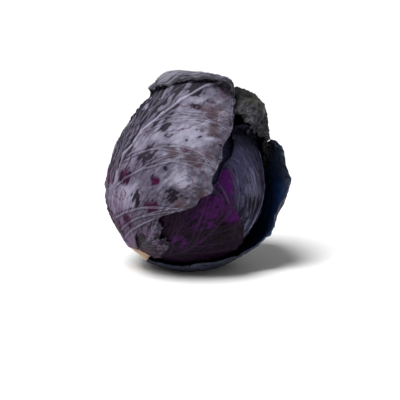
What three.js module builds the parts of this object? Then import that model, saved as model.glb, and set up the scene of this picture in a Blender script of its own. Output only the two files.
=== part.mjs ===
// A red cabbage head with its loose outer leaves, resting on a small flat spot.
// Every leaf is a thin shell of its own, wrapped round one tight heart that grows on a cut stem.
//
// Leaves are laid out in angles round the head. The growing axis runs from the stem to the crown.
// A leaf's midrib lies in the half plane at its heading, an angle round that axis. On the leaf,
// along is the angle from the stem towards the crown, and across is the angle to the side.
// Lists of numbers are read evenly spaced: from base to tip, or from the left edge to the right.
import * as THREE from "three";

// Millimetres.
const HEAD_RADIUS = 77; // outer face of the outermost leaves, where they lie on the head
const RESTING_HEIGHT = 73.5; // head centre above the surface that it rests on
const LAYER_PITCH = 3; // from one layer of leaves to the next
const BLADE = 1.6; // thickness of a leaf
const HEART_RADIUS = 65;
const STEM_RADIUS = 11;
const STEM_INNER_END = HEART_RADIUS + 0.5; // distances from the head centre
const STEM_CUT = 77.5;
const STEM_CLEARANCE = 1.4; // between a leaf's base and the stem

// Directions. +X is right, +Y is back and +Z is up.
const CROWN = new THREE.Vector3(0.62, 0.26, 0.74).normalize();
const HEADING_ZERO = new THREE.Vector3(-0.55, -0.49, 0.68);

const LEAVES = [
  {
    name: "front_wrapper_leaf",
    colour: 0x77708c,
    heading: 0,
    layer: 0,
    reach: [106, 114, 121, 134, 153, 153, 145, 126, 96],
    spread: [9, 20, 56, 64, 65, 66, 67],
    lift: [0, 0, 0, 0, 0, 1, 4, 11, 24],
    liftShare: [0.3, 0.55, 0.55, 1.05, 1, 0.4, 0.12, 0.05, 0.05],
    rollLength: [2, 2, 5, 34, 20, 4, 2, 2, 2],
    steps: [14, 14],
  },
  {
    name: "crown_wrapper_leaf",
    colour: 0x4b4f50,
    heading: 250,
    layer: 1,
    reach: [180, 200, 215, 215, 172],
    spread: [9, 36, 56, 58, 50, 38, 32, 24],
    lift: [0, 0, 0, 0, 0, 3, 18, 30, 14],
    liftShare: [0.3, 0.7, 1, 1, 0.3],
    rollLength: [2, 2],
    steps: [18, 12],
  },
  {
    name: "back_wrapper_leaf",
    colour: 0x1f2438,
    heading: 172,
    layer: 0,
    reach: [136, 158, 156, 130, 106],
    spread: [10, 40, 46, 46, 45, 43, 40],
    lift: [0, 0, 0, 1, 4, 7, 9, 11, 17],
    liftShare: [0.9, 1, 0.85, 0.5, 0.3],
    rollLength: [2, 2],
    steps: [14, 12],
  },
  {
    name: "right_leaf",
    colour: 0x4a4260,
    heading: 128,
    layer: 3,
    reach: [140, 162, 174, 176, 170, 156, 146, 132, 108],
    spread: [11, 44, 62, 64, 60, 52, 44],
    lift: [0, 1, 2, 2, 3, 4, 5, 8, 12],
    liftShare: [0, 0, 0, 0.4, 0.7, 0.5, 0.2, 0, 0],
    rollLength: [2, 2, 2, 4, 9, 6, 2, 2, 2],
    steps: [14, 12],
  },
  {
    name: "lower_front_leaf",
    colour: 0x4c1c5c,
    heading: 86,
    layer: 2,
    reach: [80, 90, 92, 90, 80],
    spread: [10, 26, 34, 32],
    lift: [0, 0, 0, 1, 3],
    liftShare: [0.1, 0.1, 0.4, 1, 1.2],
    rollLength: [2, 2],
    steps: [9, 9],
  },
  {
    name: "torn_lower_leaf",
    colour: 0x7d7c88,
    heading: 47,
    layer: 1,
    reach: [36, 52, 58, 42, 24],
    spread: [10, 20, 26],
    lift: [0, 0],
    liftShare: [1, 1],
    rollLength: [2, 2],
    steps: [6, 8],
  },
];
const SPREAD_EVERY = 30; // degrees along, between the half widths in spread
const ROLL_RADIUS = 4.2; // of a rim that curls back outwards
const ROLL_TURN = THREE.MathUtils.degToRad(195);
const ROLL_STEPS = 5;
const ROUND_STEPS = 28; // round the heart and the stem
const HEART_ROWS = 18;

const centre = new THREE.Vector3(0, 0, RESTING_HEIGHT);
const sideways = CROWN.clone().cross(HEADING_ZERO).normalize(); // at heading 90
const ahead = sideways.clone().cross(CROWN); // at heading 0

// Catmull-Rom through evenly spaced values, x from 0 to 1.
function spline(values, x) {
  const place = THREE.MathUtils.clamp(x, 0, 1) * (values.length - 1);
  const i = Math.min(Math.floor(place), values.length - 2);
  const f = place - i;
  const [a, b, c, d] = [i - 1, i, i + 1, i + 2].map(
    (k) => values[THREE.MathUtils.clamp(k, 0, values.length - 1)],
  );
  return b + 0.5 * f * (c - a + f * (2 * a - 5 * b + 4 * c - d + f * (3 * (b - c) + d - a)));
}

function radiusOf(layer) {
  return HEAD_RADIUS - BLADE / 2 - layer * LAYER_PITCH;
}

// The middle of a leaf's blade at u, base to tip, and v, left to right, both from 0 to 1.
function bladePoint(leaf, u, v) {
  const radius = radiusOf(leaf.layer);
  const base = Math.asin((STEM_RADIUS + STEM_CLEARANCE) / radius);
  const tip = THREE.MathUtils.degToRad(spline(leaf.reach, v));
  const along = base + u * (tip - base);
  const stations = THREE.MathUtils.degToRad(SPREAD_EVERY) * (leaf.spread.length - 1);
  const width = THREE.MathUtils.degToRad(spline(leaf.spread, along / stations));
  const across = width * (2 * v - 1);
  const heading = THREE.MathUtils.degToRad(leaf.heading);
  const rib = ahead.clone().multiplyScalar(Math.cos(heading));
  rib.addScaledVector(sideways, Math.sin(heading));
  const side = CROWN.clone().cross(rib);
  const direction = rib.multiplyScalar(Math.sin(along)).addScaledVector(CROWN, -Math.cos(along));
  direction.multiplyScalar(Math.cos(across)).addScaledVector(side, Math.sin(across));
  const lift = Math.max(0, spline(leaf.lift, u)) * spline(leaf.liftShare, v);
  return direction.multiplyScalar(radius + lift);
}

// Rows of blade points from base to tip, with the rolled rim as the last rows.
function bladeRows(leaf) {
  const [rows, columns] = leaf.steps;
  const grid = [];
  for (let i = 0; i <= rows; i++) {
    grid.push(
      Array.from({ length: columns + 1 }, (_, j) => bladePoint(leaf, i / rows, j / columns)),
    );
  }
  const rim = grid[rows];
  const frames = rim.map((point, j) => {
    const forward = point.clone().sub(grid[rows - 1][j]).normalize();
    const edge = rim[Math.min(j + 1, columns)].clone().sub(rim[Math.max(j - 1, 0)]);
    return { forward, outward: edge.cross(forward).normalize() };
  });
  for (let k = 1; k <= ROLL_STEPS; k++) {
    grid.push(
      rim.map((point, j) => {
        const length = (spline(leaf.rollLength, j / columns) * k) / ROLL_STEPS;
        const turn = Math.min(length / ROLL_RADIUS, ROLL_TURN);
        const straight = length - turn * ROLL_RADIUS;
        const { forward, outward } = frames[j];
        return point
          .clone()
          .addScaledVector(forward, ROLL_RADIUS * Math.sin(turn) + straight * Math.cos(turn))
          .addScaledVector(
            outward,
            ROLL_RADIUS * (1 - Math.cos(turn)) + straight * Math.sin(turn),
          );
      }),
    );
  }
  return grid;
}

// Outward unit normals of a grid of points.
function gridNormals(grid) {
  const last = grid.length - 1;
  return grid.map((row, i) =>
    row.map((_, j) => {
      const upper = grid[Math.min(i + 1, last)][j];
      const lower = grid[Math.max(i - 1, 0)][j];
      const right = row[Math.min(j + 1, row.length - 1)];
      const left = row[Math.max(j - 1, 0)];
      const across = right.clone().sub(left);
      return across.cross(upper.clone().sub(lower)).normalize();
    }),
  );
}

// One closed shell: the grid's outer face, its inner face and the rim between them.
function shellGeometry(leaf) {
  const grid = bladeRows(leaf);
  const normals = gridNormals(grid);
  const columns = grid[0].length;
  const floor = leaf.layer * LAYER_PITCH;
  const face = (offset) =>
    grid.flatMap((row, i) =>
      row.map((point, j) => {
        const moved = point.clone().addScaledVector(normals[i][j], offset).add(centre);
        moved.z = Math.max(moved.z, floor + BLADE / 2 - offset);
        return moved;
      }),
    );
  const points = [...face(BLADE / 2), ...face(-BLADE / 2)];
  const inner = grid.length * columns;
  const at = (i, j) => i * columns + j;
  const triangles = [];
  const quad = (a, b, c, d) => triangles.push(a, b, c, a, c, d);
  for (let i = 0; i < grid.length - 1; i++) {
    for (let j = 0; j < columns - 1; j++) {
      const corners = [at(i, j), at(i, j + 1), at(i + 1, j + 1), at(i + 1, j)];
      quad(...corners);
      quad(...corners.map((c) => c + inner).reverse());
    }
  }
  const rimLoop = [
    ...Array.from({ length: columns - 1 }, (_, j) => at(0, j)),
    ...Array.from({ length: grid.length - 1 }, (_, i) => at(i, columns - 1)),
    ...Array.from({ length: columns - 1 }, (_, j) => at(grid.length - 1, columns - 1 - j)),
    ...Array.from({ length: grid.length - 1 }, (_, i) => at(grid.length - 1 - i, 0)),
  ];
  rimLoop.forEach((a, k) => {
    const b = rimLoop[(k + 1) % rimLoop.length];
    quad(a, a + inner, b + inner, b);
  });
  return new THREE.BufferGeometry().setFromPoints(points).setIndex(triangles);
}

// A ball, pressed flat where it lies on the leaves under it.
function heartGeometry() {
  const geometry = new THREE.SphereGeometry(HEART_RADIUS, ROUND_STEPS, HEART_ROWS);
  const position = geometry.getAttribute("position");
  const point = new THREE.Vector3();
  for (let i = 0; i < position.count; i++) {
    point.fromBufferAttribute(position, i).add(centre);
    position.setXYZ(i, point.x, point.y, Math.max(point.z, HEAD_RADIUS - HEART_RADIUS));
  }
  return geometry;
}

// The stub of the stem, with its cut face outwards and its growing end against the heart.
function stemMesh() {
  const profile = [
    [0, STEM_INNER_END],
    [STEM_RADIUS - 2, STEM_INNER_END],
    [STEM_RADIUS, STEM_INNER_END + 2],
    [STEM_RADIUS, STEM_CUT - 1.5],
    [STEM_RADIUS - 1.2, STEM_CUT],
    [0, STEM_CUT],
  ].map(([r, h]) => new THREE.Vector2(r, h));
  const stem = named("stem", new THREE.LatheGeometry(profile, ROUND_STEPS), 0xd9c7a4);
  stem.quaternion.setFromUnitVectors(new THREE.Vector3(0, 1, 0), CROWN.clone().negate());
  stem.position.copy(centre);
  return stem;
}

function named(name, geometry, colour) {
  const material = new THREE.MeshStandardMaterial({ color: colour, roughness: 0.5, metalness: 0 });
  const mesh = new THREE.Mesh(geometry, material);
  mesh.name = name;
  return mesh;
}

const cabbage = new THREE.Group();
cabbage.add(named("heart", heartGeometry(), 0x6a4a80), stemMesh());
LEAVES.forEach((leaf) => cabbage.add(named(leaf.name, shellGeometry(leaf), leaf.colour)));

// The origin is under the middle of the whole head, on the surface that it rests on.
const extent = new THREE.Box3().setFromObject(cabbage);
const middle = extent.getCenter(new THREE.Vector3());
cabbage.position.set(-middle.x, -middle.y, -extent.min.z);

export default cabbage;
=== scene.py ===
import math

import bpy
import numpy as np
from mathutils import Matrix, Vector, kdtree


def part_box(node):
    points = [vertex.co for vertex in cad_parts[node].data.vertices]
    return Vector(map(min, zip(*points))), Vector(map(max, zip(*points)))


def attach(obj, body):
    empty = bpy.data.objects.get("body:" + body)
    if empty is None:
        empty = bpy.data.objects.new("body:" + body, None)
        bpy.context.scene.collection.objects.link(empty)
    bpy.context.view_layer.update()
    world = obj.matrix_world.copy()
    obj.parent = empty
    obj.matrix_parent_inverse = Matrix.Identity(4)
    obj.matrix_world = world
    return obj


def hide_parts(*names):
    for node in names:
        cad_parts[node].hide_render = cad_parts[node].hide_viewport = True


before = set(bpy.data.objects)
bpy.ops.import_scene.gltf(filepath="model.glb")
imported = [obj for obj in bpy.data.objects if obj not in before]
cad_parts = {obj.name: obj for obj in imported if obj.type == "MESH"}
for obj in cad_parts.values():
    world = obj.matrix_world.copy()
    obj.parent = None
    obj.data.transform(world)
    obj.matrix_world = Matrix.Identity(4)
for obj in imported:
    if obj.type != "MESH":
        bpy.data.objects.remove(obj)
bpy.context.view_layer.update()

MM = 0.001

# The head's own shape, in mm.
heart_low, heart_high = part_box("heart")
HEART_RADIUS = (heart_high[0] - heart_low[0]) / 2 / MM
LAYER_PITCH = 3.0  # from one layer of leaves to the next
HEAD_RADIUS = HEART_RADIUS + 4 * LAYER_PITCH  # outer face of the outermost leaves
CENTRE = np.array(
    [
        (heart_low[0] + heart_high[0]) / 2 / MM,
        (heart_low[1] + heart_high[1]) / 2 / MM,
        heart_high[2] / MM - HEART_RADIUS,
    ]
)
STEM_RADIUS = 11.0
STEM_CUT = 77.5  # distance of the cut face from the head's centre
STEM_CLEARANCE = 1.4  # between a leaf's base and the stem
CAD_BLADE = 1.6  # thickness of a leaf in the frame
LAYER_ROOM = 1.45  # how far a blade may reach to either side of its middle, between its neighbours
BLADE_AT_MARGIN = 0.7
BLADE_AT_BASE = 1.8
SPREAD_EVERY = 30  # degrees along, between the half widths in spread
ROLL_RADIUS = 4.2  # of a rim that curls back outwards
ROLL_TURN = math.radians(195)
ROLL_ROWS = 26
VEIN_PAIRS = 7
VEIN_STEP = 0.5  # between the points that a vein is drawn through
VEIN_WOBBLE = 0.012  # radians at each step
SIDE_VEIN_WIDTH = 1.6
RIB_AT_TIP = 1.2
RIB_BASE_ADDS = 7.5
NEAR_MARGIN = 14.0  # how far the margin's dry, ruffled rim reaches in
FLAT_BASE = (5, 40)  # distances from the base over which puckers and folds begin
FREE_BASE = (40, 110)  # and over which the blade comes loose and sways
THICK_BASE = 90  # how far the thicker flesh by the base reaches
FLESHY_BASE = (55, 30)  # how far the purple tint at the base reaches, up the leaf and to the side; on the lower front and back leaves it is painted shade
FAN_BELOW_BASE = 45.0  # the streaks fan out from a point this far below a leaf's base
FAN_RADIUS = 90.0  # distance from that point at which the fan's widths are true
FOLDS_DRAWN_OUT = 4  # how many times longer the folds along the veins are than wide
FLESH_SUNK = 0.25  # how far the flesh between the veins lies below their feet

# Unevenness at several sizes: its share or mm, its size, and what it adds to the leaf's seed.
TIP_WAVES = ((0.6, 26, 0), (0.4, 9, 1))
SWAY_WAVES = ((1.1, 60, 8), (0.35, 16, 7))
RUFFLE_WAVES = ((1, 22, 9), (0.35, 9, 10))
FOLD_CREASES = ((1, 15, 14), (0.6, 7, 15))
CRUMPLE_CREASES = ((1, 13, 12), (0.6, 6, 13))
SIDE_FRAY = 0.012  # share of the width, for each degree of ragged


def unit(v):
    """Vectors of length 1 in the same directions."""
    return v / np.linalg.norm(v, axis=-1, keepdims=True)


# Directions. +X is right, +Y is back and +Z is up.
CROWN = unit(np.array([0.62, 0.26, 0.74]))
HEADING_ZERO = np.array([-0.55, -0.49, 0.68])
SIDEWAYS = unit(np.cross(CROWN, HEADING_ZERO))  # at heading 90
AHEAD = np.cross(SIDEWAYS, CROWN)  # at heading 0

# Every leaf. First its shape: reach is how many degrees along the tip is, by v. spread is half the
# width in degrees, every SPREAD_EVERY degrees along. lift is how far the blade stands off in mm, by
# u, and lift_share shares that out by v. roll_length is the mm of rim that curl back, by v.
# Then its surface: ragged is the degrees of unevenness at the tip, and ruffle and folds are in mm.
# crumple is in mm, all over and what a dry margin adds. rib_bend is the midrib's mm to the side.
# vein_angles are the side veins' degrees from the midrib, left and right, and vein_bends how fast
# they turn.
# Then its finish: dry_rim, by v, bloom, by u, rib_show and vein_show are shares, most of them from
# 0 to 1. A spot is mm to the right of the midrib, mm from the base, and its size in mm.
LEAVES = [
    dict(
        name="front_wrapper_leaf",
        slot="wrapper_leaf",
        finish="wrapper",
        heading=0,
        layer=0,
        reach=[106, 114, 121, 134, 153, 153, 145, 126, 96],
        spread=[9, 20, 56, 64, 65, 66, 67],
        lift=[0, 0, 0, 0, 0, 1, 4, 11, 24],
        lift_share=[0.3, 0.55, 0.55, 1.05, 1, 0.4, 0.12, 0.05, 0.05],
        roll_length=[2, 2, 5, 34, 20, 4, 2, 2, 2],
        ragged=1.6,
        ruffle=2.2,
        folds=1.3,
        crumple=(0.2, 2.0),
        dry_rim=[0.5, 0.6, 0.8, 1, 1, 0.5, 0.15, 0.1, 0.1],
        rib_bend=-5,
        vein_angles=(16, 44),
        vein_bends=(0.3, 2.2),
        rib_show=0.7,
        vein_show=0.36,
        bloom=[0.58, 0.62, 0.62, 0.66, 0.44],
        bloom_spots=[(28, 148, 22), (66, 140, 13), (62, 98, 10), (16, 58, 12)],
        rust_spots=[
            (22, 172, 15),
            (40, 163, 11),
            (56, 126, 14),
            (38, 116, 9),
            (62, 143, 7),
            (82, 94, 13),
            (68, 72, 10),
        ],
        worn_spots=[
            (-34, 138, 40),
            (-24, 98, 28),
            (-12, 172, 20),
            (12, 132, 9),
            (20, 102, 12),
            (60, 76, 8),
            (28, 60, 9),
        ],
        vivid_spots=[
            (8, 74, 10),
            (-20, 70, 15),
            (-10, 86, 12),
            (-5, 88, 6),
            (-20, 18, 22),
            (-4, 24, 14),
            (18, 36, 9),
            (40, 84, 6),
            (44, 58, 9),
        ],
        grid=(200, 208),
        seed=11,
    ),
    dict(
        name="crown_wrapper_leaf",
        slot="wrapper_leaf",
        finish="dry",
        heading=250,
        layer=1,
        reach=[180, 200, 215, 215, 172],
        spread=[9, 36, 56, 58, 50, 38, 32, 24],
        lift=[0, 0, 0, 0, 0, 3, 18, 30, 14],
        lift_share=[0.3, 0.7, 1, 1, 0.3],
        roll_length=[2, 2],
        ragged=1.8,
        ruffle=2.0,
        folds=0.8,
        crumple=(1.0, 2.6),
        dry_rim=[1.6, 1.6],
        rib_bend=4,
        vein_angles=(45, 45),
        vein_bends=(-0.6, -0.6),
        rib_show=0.6,
        vein_show=0.4,
        bloom=[0.95, 0.95, 0.95, 0.8, 0.4, 0.3],
        bloom_spots=[(7, 266, 16), (-10, 262, 14)],
        rust_spots=[(8, 240, 13)],
        worn_spots=[(16, 236, 20), (-10, 120, 16), (30, 60, 20)],
        vivid_spots=[(0, 30, 20)],
        grid=(240, 184),
        seed=23,
    ),
    dict(
        name="back_wrapper_leaf",
        slot="wrapper_leaf",
        finish="shaded",
        heading=172,
        layer=0,
        reach=[136, 158, 156, 130, 106],
        spread=[10, 40, 46, 46, 45, 43, 40],
        lift=[0, 0, 0, 1, 4, 7, 9, 11, 17],
        lift_share=[0.9, 1, 0.85, 0.5, 0.3],
        roll_length=[2, 2],
        ragged=1.6,
        ruffle=1.8,
        folds=0.9,
        crumple=(0.2, 1.6),
        dry_rim=[0.4, 0.7, 1, 1, 1],
        rib_bend=5,
        vein_angles=(50, 50),
        vein_bends=(-0.6, -0.6),
        rib_show=0.7,
        vein_show=0.6,
        bloom=[0.8, 0.8],
        bloom_spots=[],
        rust_spots=[(10, 120, 16)],
        worn_spots=[(-20, 70, 22), (20, 140, 22)],
        vivid_spots=[(0, 30, 20)],
        grid=(210, 190),
        seed=37,
    ),
    dict(
        name="right_leaf",
        slot="inner_leaf",
        finish="inner",
        heading=128,
        layer=3,
        reach=[140, 162, 174, 176, 170, 156, 146, 132, 108],
        spread=[11, 44, 62, 64, 60, 52, 44],
        lift=[0, 1, 2, 2, 3, 4, 5, 8, 12],
        lift_share=[0, 0, 0, 0.4, 0.7, 0.5, 0.2, 0, 0],
        roll_length=[2, 2, 2, 4, 9, 6, 2, 2, 2],
        ragged=1.2,
        ruffle=1.0,
        folds=0.8,
        crumple=(0.05, 0.7),
        dry_rim=[0.2, 0.2, 1, 1, 0.2],
        rib_bend=-4,
        vein_angles=(20, 40),
        vein_bends=(0.5, 0.5),
        rib_show=0.95,
        vein_show=0.4,
        bloom=[0.7, 0.7, 0.62, 0.6],
        bloom_spots=[(4, 90, 24), (-30, 130, 14)],
        rust_spots=[(-12, 142, 13), (-16, 118, 14), (-30, 88, 13)],
        worn_spots=[(-14, 110, 24), (-36, 90, 18), (0, 70, 16)],
        vivid_spots=[(-64, 134, 14), (-60, 118, 18), (-55, 101, 19), (-49, 84, 16), (-40, 68, 13)],
        grid=(196, 215),
        seed=41,
    ),
    dict(
        name="lower_front_leaf",
        slot="inner_leaf",
        finish="moist",
        heading=86,
        layer=2,
        reach=[80, 90, 92, 90, 80],
        spread=[10, 26, 34, 32],
        lift=[0, 0, 0, 1, 3],
        lift_share=[0.1, 0.1, 0.4, 1, 1.2],
        roll_length=[2, 2],
        ragged=1.0,
        ruffle=0.8,
        folds=1.3,
        crumple=(0.6, 0.8),
        dry_rim=[0.1, 0.1],
        rib_bend=3,
        vein_angles=(30, 45),
        vein_bends=(0.5, 1.0),
        rib_show=0.25,
        vein_show=0.25,
        bloom=[0.1, 0.1],
        # Partly painted glints: lighter wax spots low on the leaf.
        bloom_spots=[(-8, 24, 9), (10, 44, 7)],
        rust_spots=[],
        worn_spots=[(0, 30, 28), (10, 66, 26)],
        vivid_spots=[(-18, 98, 16), (-12, 80, 13), (4, 98, 10), (10, 60, 12), (-6, 44, 9)],
        grid=(180, 180),
        seed=53,
    ),
    dict(
        name="torn_lower_leaf",
        slot="wrapper_leaf",
        finish="wrapper",
        heading=47,
        layer=1,
        reach=[36, 52, 58, 42, 24],
        spread=[10, 20, 26],
        lift=[0, 0],
        lift_share=[1, 1],
        roll_length=[2, 2],
        ragged=6.0,
        ruffle=2.0,
        folds=1.6,
        crumple=(2.2, 2.2),
        dry_rim=[1, 1],
        rib_bend=2,
        vein_angles=(40, 40),
        vein_bends=(0, 0),
        rib_show=0.2,
        vein_show=0.1,
        bloom=[0.1, 0.45, 0.8],
        bloom_spots=[(-10, 40, 12)],
        rust_spots=[],
        worn_spots=[(0, 20, 14), (-10, 42, 8), (14, 40, 7)],
        vivid_spots=[(6, 14, 14)],
        grid=(150, 160),
        seed=67,
    ),
]


def spline(values, x):
    """Catmull-Rom through evenly spaced values, x from 0 to 1."""
    values = np.asarray(values, float)
    place = np.clip(x, 0, 1) * (len(values) - 1)
    i = np.minimum(place.astype(int), len(values) - 2)
    f = place - i
    a, b, c, d = (values[np.clip(i + k, 0, len(values) - 1)] for k in (-1, 0, 1, 2))
    return b + 0.5 * f * (c - a + f * (2 * a - 5 * b + 4 * c - d + f * (3 * (b - c) + d - a)))


def smoothstep(low, high, x):
    """From 0 at low to 1 at high, with soft ends."""
    t = np.clip((x - low) / (high - low), 0, 1)
    return t * t * (3 - 2 * t)


def waves(points, size, seed, count=16):
    """Smooth random waves over points, about this size in the points' own unit. They are mostly
    within -1 to 1."""
    rng = np.random.default_rng(seed)
    total = np.zeros(points.shape[:-1])
    for _ in range(count):
        direction = unit(rng.normal(size=points.shape[-1]))
        turns = points @ direction * (2 * math.pi / (size * rng.uniform(0.7, 1.6)))
        total += np.sin(turns + rng.uniform(0, 2 * math.pi))
    return total * math.sqrt(0.8 / count)


def creases(points, size, seed):
    """Sharp folds between smooth waves, from 0 in the hollows to 1 on the folds."""
    return (1 - np.clip(np.abs(waves(points, size, seed)) * 1.3, 0, 1)) ** 2


def layered(pattern, points, layers, seed):
    """Waves or creases of several sizes, added up."""
    return sum(high * pattern(points, size, seed + own) for high, size, own in layers)


def radius_of(layer):
    """Distance of the middle of a leaf's blade from the head's centre, in mm."""
    return HEAD_RADIUS - CAD_BLADE / 2 - layer * LAYER_PITCH


def leaf_middle(leaf):
    """The middle of a leaf's blade as rows of points round the head's centre, with the leaf's flat
    coordinates: mm to the side of the midrib and mm from the base."""
    rows, columns = leaf["grid"]
    u = np.linspace(0, 1, rows)[:, None]
    v = np.linspace(0, 1, columns)[None, :]
    radius = radius_of(leaf["layer"])
    base = math.asin((STEM_RADIUS + STEM_CLEARANCE) / radius)
    rim = np.stack([v[0] * 100, np.zeros(columns)], -1)
    uneven = layered(waves, rim, TIP_WAVES, leaf["seed"])
    tip = np.radians(spline(leaf["reach"], v) + leaf["ragged"] * uneven)
    along = base + u * (tip - base)
    stations = math.radians(SPREAD_EVERY) * (len(leaf["spread"]) - 1)
    side_rim = np.stack([np.degrees(along), np.sign(v - 0.5) * 90 + 0 * along], -1)
    frayed = 1 + SIDE_FRAY * leaf["ragged"] * waves(side_rim, 20, leaf["seed"] + 2)
    width = np.radians(spline(leaf["spread"], along / stations)) * frayed
    across = width * (2 * v - 1)
    heading = math.radians(leaf["heading"])
    rib = AHEAD * math.cos(heading) + SIDEWAYS * math.sin(heading)
    side = np.cross(CROWN, rib)
    direction = rib * np.sin(along)[..., None] - CROWN * np.cos(along)[..., None]
    direction = direction * np.cos(across)[..., None] + side * np.sin(across)[..., None]
    lift = np.maximum(0, spline(leaf["lift"], u)) * spline(leaf["lift_share"], v)
    middle = direction * (radius + lift)[..., None]
    flat = np.stack([across * radius, (along - base) * radius], -1)
    return rolled(leaf, middle, flat, v[0])


def rolled(leaf, middle, flat, v):
    """Adds the rows of the rim, which curls back outwards where its roll is long."""
    rim = middle[-1]
    forward = unit(rim - middle[-3])
    edge = np.gradient(rim, axis=0)
    outward = unit(np.cross(edge, forward))
    full = spline(leaf["roll_length"], v)
    along_rim = np.stack([v * 100, np.zeros_like(v)], -1)
    tightness = ROLL_RADIUS * (1 + 0.3 * waves(along_rim, 30, leaf["seed"] + 3))
    for k in range(1, ROLL_ROWS + 1):
        length = full * k / ROLL_ROWS
        turn = np.minimum(length / tightness, ROLL_TURN)
        straight = length - turn * tightness
        ahead = tightness * np.sin(turn) + straight * np.cos(turn)
        out = tightness * (1 - np.cos(turn)) + straight * np.sin(turn)
        row = rim + forward * ahead[:, None] + outward * out[:, None]
        middle = np.concatenate([middle, row[None]])
        flat_row = flat[-1] + np.stack([0 * full, full / ROLL_ROWS], -1)
        flat = np.concatenate([flat, flat_row[None]])
    return middle, flat


def normals_of(points):
    """Outward directions at rows of points."""
    across = np.gradient(points, axis=1)
    upward = np.gradient(points, axis=0)
    return unit(np.cross(across, upward))


def margin_distance(points):
    """Rough distances in mm of each point from the leaf's free edge and from its base."""
    rows, columns, _ = points.shape
    steps_up = np.linalg.norm(np.diff(points, axis=0), axis=-1)
    from_base = np.concatenate([np.zeros((1, columns)), np.cumsum(steps_up, axis=0)])
    to_tip = from_base[-1] - from_base
    steps_over = np.linalg.norm(np.diff(points, axis=1), axis=-1)
    from_left = np.concatenate([np.zeros((rows, 1)), np.cumsum(steps_over, axis=1)], axis=1)
    to_side = np.minimum(from_left, from_left[:, -1:] - from_left)
    return np.minimum(to_tip, to_side), from_base


def vein_tree(leaf, flat):
    """Points along the midrib, the side veins and their forks, each with its width and how much it
    shows."""
    rng = np.random.default_rng(leaf["seed"] + 5)
    length = flat[..., 1].max()
    half_width = np.abs(flat[..., 0]).max()
    found = []

    def grow(x, y, angle, bend, width, left, forks):
        """A vein from x, y. Its angle is from the midrib's direction, and its bend is per mm."""
        total = left
        next_fork = total * rng.uniform(0.62, 0.8)
        while left > 0 and abs(x) < half_width + 4 and y < length + 4:
            fading = 0.35 + 0.65 * left / total
            found.append((x, y, width * fading, leaf["vein_show"] * fading))
            x += VEIN_STEP * math.sin(angle)
            y += VEIN_STEP * math.cos(angle)
            angle += bend * VEIN_STEP + rng.normal() * VEIN_WOBBLE
            left -= VEIN_STEP
            if forks and left < next_fork:
                turn = rng.choice([-1, 1]) * rng.uniform(0.15, 0.3)
                grow(x, y, angle + turn, -turn * 0.004, width * 0.6, left * 0.7, forks - 1)
                next_fork = left - total * rng.uniform(0.18, 0.3)

    def rib(y):
        """How far to the side the midrib runs at y."""
        return leaf["rib_bend"] * math.sin(math.pi * min(1, y / length)) + 1.2 * math.sin(y * 0.05)

    for y in np.arange(0, length * 0.97, VEIN_STEP):
        show = leaf["rib_show"] * (0.35 + 0.65 * smoothstep(0.25, 0.5, y / length))
        found.append((rib(y), y, RIB_AT_TIP + RIB_BASE_ADDS * (1 - y / length) ** 1.6, show))
    for way, base_angle, bending in zip((-1, 1), leaf["vein_angles"], leaf["vein_bends"]):
        for k in range(VEIN_PAIRS):
            share = 0.03 + 0.7 * ((k + rng.uniform(0.1, 0.7)) / VEIN_PAIRS) ** 1.5
            y = share * length
            angle = way * math.radians(base_angle) * rng.uniform(0.85, 1.15) * (1.25 - 0.9 * share)
            bend = way * math.radians(bending) * rng.uniform(0.05, 0.15)
            width = SIDE_VEIN_WIDTH * (1 - 0.5 * share)
            grow(rib(y), y, angle, bend, width, length * (0.9 - 0.6 * share), 1)
    return np.array(found)


def vein_strength(leaf, flat):
    """How the veins stand out: their height in mm, their share of vein colour, the painted shade
    along their sides, and the distance from them in mm."""
    tree = vein_tree(leaf, flat)
    finder = kdtree.KDTree(len(tree))
    for i, (x, y, _, _) in enumerate(tree):
        finder.insert((x, y, 0), i)
    finder.balance()
    hits = [finder.find((x, y, 0)) for x, y in flat.reshape(-1, 2)]
    distance = np.array([hit[2] for hit in hits]).reshape(flat.shape[:-1])
    nearest = tree[[hit[1] for hit in hits]].reshape(*flat.shape[:-1], 4)
    width, show = nearest[..., 2], nearest[..., 3]
    height = 0.22 * width * np.exp(-((distance / (0.55 * width)) ** 2))
    colour = show * np.exp(-((distance / (0.36 * width + 0.2)) ** 2))
    # Painted shade: a dark band along both sides of each vein, where a raised vein shades the leaf.
    vein_side_shade = np.exp(-(((distance - 0.75 * width - 0.6) / 0.9) ** 2))
    return height, colour, vein_side_shade, distance


def spots(flat, places):
    """How near each point of a leaf is to its spots, from 0 to 1."""
    near = np.zeros(flat.shape[:-1])
    for x, y, size in places:
        away = np.hypot(flat[..., 0] - x, flat[..., 1] - y) / size
        near = np.maximum(near, np.exp(-(away**2)))
    return near


def shell_faces(rows, columns):
    """Quads of a closed shell: an outer face, an inner face and the rim between them."""
    index = np.arange(rows * columns).reshape(rows, columns)
    inner = rows * columns
    a, b, c, d = index[:-1, :-1], index[:-1, 1:], index[1:, 1:], index[1:, :-1]
    outer_quads = np.stack([a, b, c, d], -1).reshape(-1, 4)
    inner_quads = outer_quads[:, ::-1] + inner
    loop = np.concatenate([index[0, :-1], index[:-1, -1], index[-1, :0:-1], index[:0:-1, 0]])
    after = np.roll(loop, -1)
    rim_quads = np.stack([loop, loop + inner, after + inner, after], -1)
    return np.concatenate([outer_quads, inner_quads, rim_quads])


def smooth_mesh(name, points, faces):
    """A smooth-shaded mesh of points in metres."""
    mesh = bpy.data.meshes.new(name)
    mesh.from_pydata(points, [], faces)
    mesh.polygons.foreach_set("use_smooth", np.ones(len(mesh.polygons), bool))
    return mesh


def ring_quads(index):
    """Quads between rows of points that each go all the way round."""
    after = np.roll(index, -1, axis=1)
    return np.stack([index[:-1], index[1:], after[1:], after[:-1]], -1).reshape(-1, 4).tolist()


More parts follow.
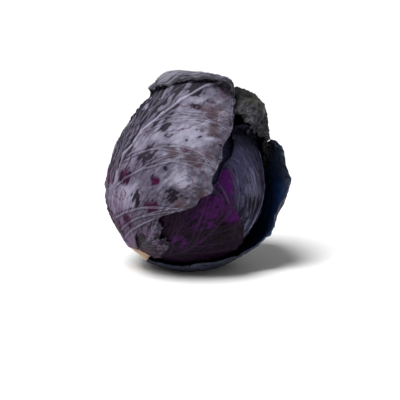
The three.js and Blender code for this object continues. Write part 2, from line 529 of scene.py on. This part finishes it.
def mesh_object(name, points_mm, faces, attributes):
    """A piece in the scene, with a number or a place for its material at every point."""
    mesh = smooth_mesh(name, (points_mm * MM).tolist(), faces)
    for key, values in attributes.items():
        single = values.size == len(points_mm)
        kind, field = ("FLOAT", "value") if single else ("FLOAT_VECTOR", "vector")
        layer = mesh.attributes.new(key, kind, "POINT")
        layer.data.foreach_set(field, np.ascontiguousarray(values, np.float32).ravel())
    mesh.update()
    piece = bpy.data.objects.new(name, mesh)
    bpy.context.scene.collection.objects.link(piece)
    return piece


def leaf_piece(leaf):
    """A whole leaf: its two faces and its rim, with the fields that its material reads."""
    middle, flat = leaf_middle(leaf)
    seed = leaf["seed"]
    up = np.linspace(0, 1, len(middle))[:, None]
    to_margin, from_base = margin_distance(middle)
    normals = normals_of(middle)
    height, vein, vein_side_shade, vein_distance = vein_strength(leaf, flat)

    near = np.exp(-to_margin / NEAR_MARGIN)
    dry = near * spline(leaf["dry_rim"], np.linspace(0, 1, leaf["grid"][1]))
    past_base = smoothstep(*FLAT_BASE, from_base)
    free = smoothstep(*FREE_BASE, from_base)
    fan_angle = np.arctan2(flat[..., 0], flat[..., 1] + FAN_BELOW_BASE)
    from_fan = np.hypot(flat[..., 0], flat[..., 1] + FAN_BELOW_BASE)
    drawn_out = np.stack([fan_angle * FAN_RADIUS, from_fan / FOLDS_DRAWN_OUT], -1)
    sway = free * layered(waves, middle, SWAY_WAVES, seed)
    sway += leaf["ruffle"] * near * free * layered(waves, middle, RUFFLE_WAVES, seed)
    sway += leaf["folds"] * past_base * layered(creases, drawn_out, FOLD_CREASES, seed)
    calm, crumpled = leaf["crumple"]
    crumpling = layered(creases, middle, CRUMPLE_CREASES, seed)
    sway += (calm + crumpled * dry) * past_base * crumpling
    sway -= FLESH_SUNK * smoothstep(0, 6, vein_distance) * past_base
    base_share = 1 - smoothstep(0, THICK_BASE, from_base)
    thick = BLADE_AT_MARGIN + (BLADE_AT_BASE - BLADE_AT_MARGIN) * base_share

    outer_off = sway + height + thick / 2
    if leaf["layer"] > 0:
        # Where a leaf stands off the head, it has more room.
        lifted = np.maximum(0, np.linalg.norm(middle, axis=-1) - radius_of(leaf["layer"]))
        outer_off = np.minimum(outer_off, LAYER_ROOM + lifted)
    inner_off = np.maximum(sway - 0.25 * height - thick / 2, -LAYER_ROOM)
    inner_off = np.minimum(inner_off, outer_off - BLADE_AT_MARGIN)
    outer = middle + normals * outer_off[..., None]
    inner = middle + normals * inner_off[..., None]
    points = np.concatenate([outer.reshape(-1, 3), inner.reshape(-1, 3)]) + CENTRE
    # Nothing reaches below the flat spot of its own layer.
    resting = leaf["layer"] * LAYER_PITCH
    lowest = np.repeat([resting, resting + BLADE_AT_MARGIN], vein.size)
    points[:, 2] = np.maximum(points[:, 2], lowest)

    # The third coordinate gives every leaf patterns of its own.
    fan = np.stack([fan_angle * FAN_RADIUS, from_fan, 0 * from_fan + seed * 7], -1)
    spread = np.stack([flat[..., 0], flat[..., 1], 0 * from_fan + seed * 13], -1)
    fleshy_up, fleshy_side = FLESHY_BASE
    fields = dict(
        vein=vein,
        vein_side_shade=vein_side_shade,
        margin=dry,
        rust=spots(flat, leaf["rust_spots"]),
        worn=spots(flat, leaf["worn_spots"]),
        vivid=spots(flat, leaf["vivid_spots"]),
        bloom=spline(leaf["bloom"], up) + 0.3 * spots(flat, leaf["bloom_spots"]),
        base=np.exp(-((from_base / fleshy_up) ** 2) - (flat[..., 0] / fleshy_side) ** 2),
        fan_mm=fan,
        leaf_mm=spread,
    )
    both_faces = {key: np.concatenate([field, field]) for key, field in fields.items()}
    both_faces["inside"] = np.repeat([0.0, 1.0], vein.size)
    faces = shell_faces(*vein.shape).tolist()
    return mesh_object(leaf["name"] + "_blade", points, faces, both_faces)


def to_linear(hex_colour):
    """An sRGB hex colour as linear RGBA."""
    channels = [int(hex_colour[i : i + 2], 16) / 255 for i in (1, 3, 5)]
    return [c / 12.92 if c <= 0.04045 else ((c + 0.055) / 1.055) ** 2.4 for c in channels] + [1]


def add(tree, kind, inputs, output=0, **settings):
    """Adds a shader node with its settings. Its inputs are values, or links from other nodes'
    outputs. Returns the output asked for."""
    node = tree.nodes.new("ShaderNode" + kind)
    for key, value in settings.items():
        setattr(node, key, value)
    for key, value in inputs.items():
        if isinstance(value, bpy.types.NodeSocket):
            tree.links.new(value, node.inputs[key])
        else:
            node.inputs[key].default_value = value
    return node.outputs[output] if node.outputs else node


def empty_material(name):
    """A new material, with its node tree empty."""
    material = bpy.data.materials.new(name)
    material.use_nodes = True
    material.node_tree.nodes.clear()
    return material, material.node_tree


# A colour Mix node's sockets: what is under, what is over, and the result.
MIX_UNDER, MIX_OVER, MIX_RESULT = 6, 7, 2

FIELDS = ("vein", "vein_side_shade", "margin", "rust", "worn", "vivid", "bloom", "base", "inside")

# Patterns on a leaf: the coordinates, size in mm, detail, and how many times longer it is drawn
# out along the veins. Real wax is a much finer powder, and is drawn coarse enough to show.
LEAF_PATTERNS = {
    "clouds": ("leaf_mm", 30, 3, 1),  # thick and thin bloom
    "mottle": ("leaf_mm", 8, 4, 1),  # bruises
    "speckle": ("leaf_mm", 1.5, 3, 1),  # powdery wax
    "crinkles": ("leaf_mm", 3.6, 4, 1),  # of a dried margin
    "streaks": ("fan_mm", 2.5, 4, 4.5),  # bloom worn off along the veins
    "grain": ("fan_mm", 2.2, 3, 3),  # fine relief between the veins
    "wander": ("fan_mm", 16, 2, 2.5),  # broad bands, and the thin lines on their contours
}
CONTOUR_STEP = 0.09  # of the wander pattern, between thin lines

# Where a finish shows: patterns and fields with their weights, and the sums at which it starts and
# is full.
LEAF_SHARES = {
    "vivid_flesh": ({"clouds": 1, "vivid": 0.5, "streaks": 0.9}, 1.0, 1.35),
    "flecks": ({"streaks": 1, "worn": 0.26, "vein_side_shade": 0.03}, 0.66, 0.71),
    "waxed": (
        {"bloom": 1, "clouds": 0.5, "speckle": 0.3, "streaks": 1.9, "vivid": -1.1},
        1.1,
        1.6,
    ),
    "dark_wax": ({"wander": 0.6, "clouds": 0.2, "streaks": 0.8, "bloom": -1}, -0.15, 0.25),
    "rusty": ({"rust": 0.6, "mottle": 0.5, "streaks": 0.8}, 0.86, 1.2),
    "lines": ({"contours": -1}, -0.015, -0.003),
    "bands": ({"wander": 1, "streaks": 0.3}, 0.58, 0.74),
    # Where the painted shade in the crinkles of a dry margin falls.
    "crinkle_shade": ({"crinkles": 1, "margin": 0.3}, 0.6, 0.76),
    "relief": ({"grain": 0.5, "mottle": 0.6, "dry_crinkles": 2.2, "streaks": 0.6}, 0.2, 2.6),
}

# Colour over colour, from the flesh up: what it makes, what is under, where, how much, and what is
# over.
LEAF_LAYERS = (
    ("flesh", "flesh", "vivid_flesh", 1.0, "vivid"),
    ("wax", "wax", "dark_wax", 1.0, "dark_wax"),
    ("wax", "wax", "margin", 0.8, "dry_wax"),
    ("wax", "wax", "base", 0.75, "base"),
    ("wax", "wax", "rusty", 0.85, "rust"),
    ("wax", "wax", "lines", 0.7, "line"),
    ("outer", "flesh", "waxed", 0.97, "wax"),
    # Painted shade along the sides of the veins, in the colour of the flecks.
    ("outer", "outer", "vein_side_shade", 0.48, "fleck_and_shade"),
    ("outer", "outer", "flecks", 0.92, "fleck_and_shade"),
    # Painted shade in the crinkles of a dry margin.
    ("outer", "outer", "crinkle_shade", 0.7, "fleck_and_shade"),
    ("outer", "outer", "vein", 1.0, "vein"),
    ("inner", "inner", "bands", 1.0, "inner_band"),
    ("inner", "inner", "margin", 0.85, "dry_wax"),
    # Painted shade in the crinkles of a dry margin, on the inner side.
    ("inner", "inner", "crinkle_shade", 0.7, "fleck_and_shade"),
    ("inner", "inner", "vein", 0.3, "vein"),
    ("surface", "outer", "inside", 1.0, "inner"),
)


def leaf_material(name, shades):
    """Red cabbage leaf. Deep purple flesh shows through a grey waxy bloom, which is worn off in
    flecks along the veins. The veins are paler, the margin is drier and greyer, and the inner side
    has bluish bands. Painted shade darkens the sides of the veins and the crinkles of a dry margin.
    Bare flesh is smoother than the matt bloom. The specular level is low, because
    the powdery wax leaves hardly any shine."""
    material, tree = empty_material(name)
    made = {key: add(tree, "Attribute", {}, "Fac", attribute_name=key) for key in FIELDS}
    for key, (place, size, detail, drawn_out) in LEAF_PATTERNS.items():
        spread = add(tree, "Attribute", {}, "Vector", attribute_name=place)
        scale = (1 / size, 1 / (size * drawn_out), 1 / size)
        scaled = add(tree, "Mapping", {"Vector": spread, "Scale": scale})
        made[key] = add(tree, "TexNoise", {"Vector": scaled, "Scale": 1.0, "Detail": detail})
    made["contours"] = add(tree, "Math", {0: made["wander"], 1: CONTOUR_STEP}, operation="PINGPONG")
    dry = {0: made["crinkles"], 1: made["margin"]}
    made["dry_crinkles"] = add(tree, "Math", dry, operation="MULTIPLY")
    for key, (weights, start, full) in LEAF_SHARES.items():
        total = 0.0
        for source, weight in weights.items():
            terms = {0: made[source], 1: weight, 2: total}
            total = add(tree, "Math", terms, operation="MULTIPLY_ADD")
        ends = {"Value": total, "From Min": start, "From Max": full}
        made[key] = add(tree, "MapRange", ends, interpolation_type="SMOOTHSTEP")
    colours = {key: to_linear(shade) for key, shade in shades.items()}
    for result, under, place, most, over in LEAF_LAYERS:
        share = add(tree, "Math", {0: made[place], 1: most}, operation="MULTIPLY")
        inputs = {0: share, MIX_UNDER: colours[under], MIX_OVER: colours[over]}
        colours[result] = add(tree, "Mix", inputs, MIX_RESULT, data_type="RGBA")
    matt = {"Value": made["waxed"], "To Min": 0.3, "To Max": 0.52}
    relief = {"Height": made["relief"], "Strength": 0.8, "Distance": 0.003}
    shader = add(
        tree,
        "BsdfPrincipled",
        {
            "Base Color": colours["surface"],
            "Roughness": add(tree, "MapRange", matt),
            "IOR": 1.45,
            "Specular IOR Level": 0.06,
            "Normal": add(tree, "Bump", relief),
        },
    )
    add(tree, "OutputMaterial", {"Surface": shader})
    return material


# fleck_and_shade is the dark of flecks worn through the bloom, and also of the painted shade along
# the veins and in the crinkles.
LEAF_FINISHES = {
    "wrapper": leaf_material(
        "waxy_wrapper_leaf",
        dict(
            flesh="#1d1020",
            vivid="#320a27",
            wax="#7a7787",
            dark_wax="#474351",
            dry_wax="#4b4a53",
            rust="#3f3036",
            line="#432c3e",
            fleck_and_shade="#15101a",
            vein="#8d899c",
            base="#705675",
            inner="#4d4c55",
            inner_band="#6a6973",
        ),
    ),
    "dry": leaf_material(
        "dry_crown_leaf",
        dict(
            flesh="#151316",
            vivid="#261a2a",
            wax="#605f69",
            dark_wax="#19191b",
            dry_wax="#57575e",
            rust="#38372f",
            line="#232225",
            fleck_and_shade="#121214",
            vein="#64636c",
            base="#33243a",
            inner="#1d1e22",
            inner_band="#33343a",
        ),
    ),
    # The back leaf: its blue-grey tone darkened as painted shade, most of all on its inner side and
    # at its base.
    "shaded": leaf_material(
        "shade_darkened_back_leaf",
        dict(
            flesh="#131022",
            vivid="#2e1038",
            wax="#33324a",
            dark_wax="#201f30",
            dry_wax="#565e62",
            rust="#3c3038",
            line="#252438",
            fleck_and_shade="#0f0e16",
            vein="#5d5c74",
            # Painted shade: a dark base and a dark navy inner side.
            base="#2a2038",
            inner="#0a1733",
            inner_band="#17305c",
        ),
    ),
    "inner": leaf_material(
        "smooth_inner_leaf",
        dict(
            flesh="#14122a",
            vivid="#3a0a46",
            wax="#55546c",
            dark_wax="#302f48",
            dry_wax="#4a4c60",
            rust="#2c2126",
            line="#26203a",
            fleck_and_shade="#130f1c",
            vein="#8482a0",
            base="#4e4868",
            inner="#12121c",
            inner_band="#20223a",
        ),
    ),
    "moist": leaf_material(
        "moist_lower_leaf",
        dict(
            flesh="#10020f",
            vivid="#3a0d45",
            # The wax streaks and spots on this leaf are partly painted glints on the wet surface.
            wax="#4a3556",
            dark_wax="#1d0a1f",
            dry_wax="#2a1c33",
            rust="#301a2a",
            line="#1b0c20",
            fleck_and_shade="#0d060e",
            vein="#4c3058",
            # Painted shade: the base of the lower leaf is almost black, as the bottom of the head
            # is shaded.
            base="#1c0619",
            inner="#1a0f20",
            inner_band="#2a1633",
        ),
    ),
}


HEART_GRID = (150, 300)  # rows from the crown to the stem, and columns round it
HEART_LEAVES = 3  # whose margins wind round the heart
HEART_WINDING = 0.55  # turns for each radian away from the crown
HEART_MARGIN = 1.3  # mm that a margin stands up
HEART_BLOOM = 0.45
HEART_RAISED = 0.5  # mm, from the bottom of its box in the frame to its flat underside
HEART_PATTERN = 900  # gives the heart patterns of its own
HEART_PATTERN_RADIUS = 60  # mm, of the ball on which its patterns are true


def heart_piece():
    """The tight heart, a ball of pressed leaves whose margins wind to the crown in a spiral."""
    rows, columns = HEART_GRID
    theta = np.linspace(0, math.pi, rows)[:, None]
    phi = np.linspace(0, 2 * math.pi, columns, endpoint=False)[None, :]
    out = AHEAD * np.cos(phi)[..., None] + SIDEWAYS * np.sin(phi)[..., None]
    direction = CROWN * np.cos(theta)[..., None] + out * np.sin(theta)[..., None]
    ball = direction * HEART_PATTERN_RADIUS
    wound = phi / (2 * math.pi) * HEART_LEAVES + theta * HEART_WINDING
    turn = (wound + 0.08 * waves(ball, 50, 71)) % 1
    margins = smoothstep(0, 0.05, turn) * (1 - turn)
    margins *= smoothstep(0, 0.25, theta) * (1 - smoothstep(2.2, 2.9, theta))
    radius = HEART_RADIUS + HEART_MARGIN * (margins - 1) + 0.25 * waves(ball, 14, 72)
    points = direction * radius[..., None] + CENTRE
    points[..., 2] = np.maximum(points[..., 2], heart_low[2] / MM + HEART_RAISED)
    round_it = phi * HEART_PATTERN_RADIUS * np.sin(theta)
    down_it = theta * HEART_RADIUS + 0 * phi
    grown = np.stack([round_it, down_it, HEART_PATTERN + 0 * round_it], -1)
    index = np.arange((rows - 2) * columns).reshape(rows - 2, columns)
    crown_point = index.size
    stem_point = crown_point + 1
    quads = ring_quads(index)
    first, last = index[0], index[-1]
    quads += [[crown_point, int(a), int(b)] for a, b in zip(first, np.roll(first, -1))]
    quads += [[stem_point, int(b), int(a)] for a, b in zip(last, np.roll(last, -1))]
    ends = [points[0].mean(axis=0), points[-1].mean(axis=0)]
    every = np.concatenate([points[1:-1].reshape(-1, 3), ends])
    spread = np.concatenate([grown[1:-1].reshape(-1, 3), grown[0, :1], grown[-1, :1]])
    fields = {key: np.zeros(len(every)) for key in FIELDS}
    fields.update(bloom=np.full(len(every), HEART_BLOOM), fan_mm=spread, leaf_mm=spread)
    return mesh_object("heart_ball", every, quads, fields)


def stem_material():
    """Cut cabbage stem. The cut face is moist cream pith and the skin is smooth and pale."""
    material, tree = empty_material("cut_cabbage_stem")
    ring = add(tree, "Attribute", {}, "Fac", attribute_name="ring")
    place = add(tree, "Attribute", {}, "Vector", attribute_name="stem_mm")
    fibres = add(tree, "TexNoise", {"Vector": place, "Scale": 0.6, "Detail": 4.0})
    colour = to_linear("#e3cdb0")
    for value, start, full, over in (
        (fibres, 0.4, 0.65, "#cdab88"),
        (ring, 0.7, 0.86, "#dcc3a2"),
        (ring, 0.97, 1.0, "#c9ac93"),
    ):
        share = add(tree, "MapRange", {"Value": value, "From Min": start, "From Max": full})
        inputs = {0: share, MIX_UNDER: colour, MIX_OVER: to_linear(over)}
        colour = add(tree, "Mix", inputs, MIX_RESULT, data_type="RGBA")
    shader = add(
        tree,
        "BsdfPrincipled",
        {
            "Base Color": colour,
            "Roughness": 0.5,
            "IOR": 1.45,
            "Normal": add(tree, "Bump", {"Height": fibres, "Strength": 0.5, "Distance": 0.0008}),
        },
    )
    add(tree, "OutputMaterial", {"Surface": shader})
    return material


# The stem's outline from the middle of the cut face to the growing end: its share of the radius,
# mm from the head's centre, and its place on the cut, from 0 in the middle to 1 on the skin.
STEM_OUTLINE = (
    (0.0, STEM_CUT - 1.2, 0.0),
    (0.35, STEM_CUT - 1.1, 0.35),
    (0.65, STEM_CUT - 0.6, 0.65),
    (0.85, STEM_CUT - 0.1, 0.85),
    (0.95, STEM_CUT, 0.95),
    (1.0, STEM_CUT - 0.9, 1.0),
    (1.0, STEM_CUT - 5.0, 1.0),
    (0.98, HEART_RADIUS + 2.0, 1.0),
    (0.8, HEART_RADIUS + 0.5, 1.0),
    (0.0, HEART_RADIUS + 0.5, 1.0),
)
STEM_SIDES = 96


def stem_piece():
    """The cut stem, its face slightly dished and its edge a little uneven."""
    phi = np.linspace(0, 2 * math.pi, STEM_SIDES, endpoint=False)
    out = AHEAD * np.cos(phi)[:, None] + SIDEWAYS * np.sin(phi)[:, None]
    out *= STEM_RADIUS * (1 + 0.03 * np.sin(3 * phi + 1) + 0.02 * np.sin(7 * phi))[:, None]
    rows = [out * share - CROWN * distance for share, distance, _ in STEM_OUTLINE]
    points = np.concatenate(rows)
    index = np.arange(len(points)).reshape(len(STEM_OUTLINE), STEM_SIDES)
    quads = ring_quads(index)
    rings = np.repeat([ring for _, _, ring in STEM_OUTLINE], STEM_SIDES)
    return mesh_object("stem_stub", points + CENTRE, quads, {"ring": rings, "stem_mm": points})


def dress(piece, node, material):
    """Gives a piece its finish, and puts it in the place of its node."""
    piece.data.materials.append(material)
    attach(piece, "root")
    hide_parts(node)


for leaf in LEAVES:
    dress(leaf_piece(leaf), leaf["name"], LEAF_FINISHES[leaf["finish"]])
dress(heart_piece(), "heart", LEAF_FINISHES["inner"])
dress(stem_piece(), "stem", stem_material())

AIM = Vector((0.003, 0, 0.0625))
CAMERA_DISTANCE = 0.805
CAMERA_ABOVE = math.radians(12)


def point_at_head(thing, name, position):
    """Puts a lamp or camera in the scene at a position, pointing at the head."""
    stand = bpy.data.objects.new(name, thing)
    stand.location = position
    stand.rotation_euler = (AIM - Vector(position)).to_track_quat("-Z", "Y").to_euler()
    bpy.context.scene.collection.objects.link(stand)
    return stand


# The floor's rings, radius and height in metres. It is flat and curves up far away, like a studio
# backdrop, so that no horizon shows.
FLOOR_RINGS = ((4, 0), (4.5, 0.02), (5, 0.08), (5.5, 0.18), (6, 0.33), (6.5, 0.55), (7, 0.85))
FLOOR_SIDES = 96


def studio():
    """A plain pale floor, soft light from the upper left and front, and weaker light from the right
    and from behind."""
    material, tree = empty_material("pale_floor_card")
    shader = add(tree, "BsdfPrincipled", {"Base Color": to_linear("#d2d2d2"), "Roughness": 0.9})
    add(tree, "OutputMaterial", {"Surface": shader})
    phi = np.linspace(0, 2 * math.pi, FLOOR_SIDES, endpoint=False)
    rows = [[(r * math.cos(a), r * math.sin(a), h) for a in phi] for r, h in FLOOR_RINGS]
    index = np.arange(len(rows) * FLOOR_SIDES).reshape(len(rows), FLOOR_SIDES)
    mesh = smooth_mesh("floor", sum(rows, []), [index[0].tolist()] + ring_quads(index))
    mesh.materials.append(material)
    floor = bpy.data.objects.new("floor", mesh)
    bpy.context.scene.collection.objects.link(floor)
    world = bpy.data.worlds.new("studio")
    world.use_nodes = True
    air = world.node_tree.nodes["Background"].inputs
    air["Color"].default_value = to_linear("#ffffff")
    air["Strength"].default_value = 0.22
    bpy.context.scene.world = world
    bpy.context.scene.view_settings.view_transform = "Standard"
    sun = bpy.data.lights.new("sun", "SUN")
    sun.energy, sun.angle = 4.8, math.radians(28)
    point_at_head(sun, "sun", (-0.3, -0.3, 1.0))
    # Each lamp's name, place and size in metres, and power in watts.
    for name, position, size, power in (
        ("key", (-0.7, -0.5, 1.0), 0.5, 6),
        ("fill", (0.9, -1.2, 0.6), 1.2, 0.6),
        ("back", (0.7, 1.2, 0.7), 1.2, 4),
    ):
        lamp = bpy.data.lights.new(name, "AREA")
        lamp.size, lamp.energy = size, power
        point_at_head(lamp, name, position)


def front_camera():
    """A camera in front of the head, looking slightly down."""
    camera = bpy.data.cameras.new("camera")
    camera.lens = 77
    away = Vector((0, -math.cos(CAMERA_ABOVE), math.sin(CAMERA_ABOVE))) * CAMERA_DISTANCE
    bpy.context.scene.camera = point_at_head(camera, "camera", AIM + away)


studio()
front_camera()
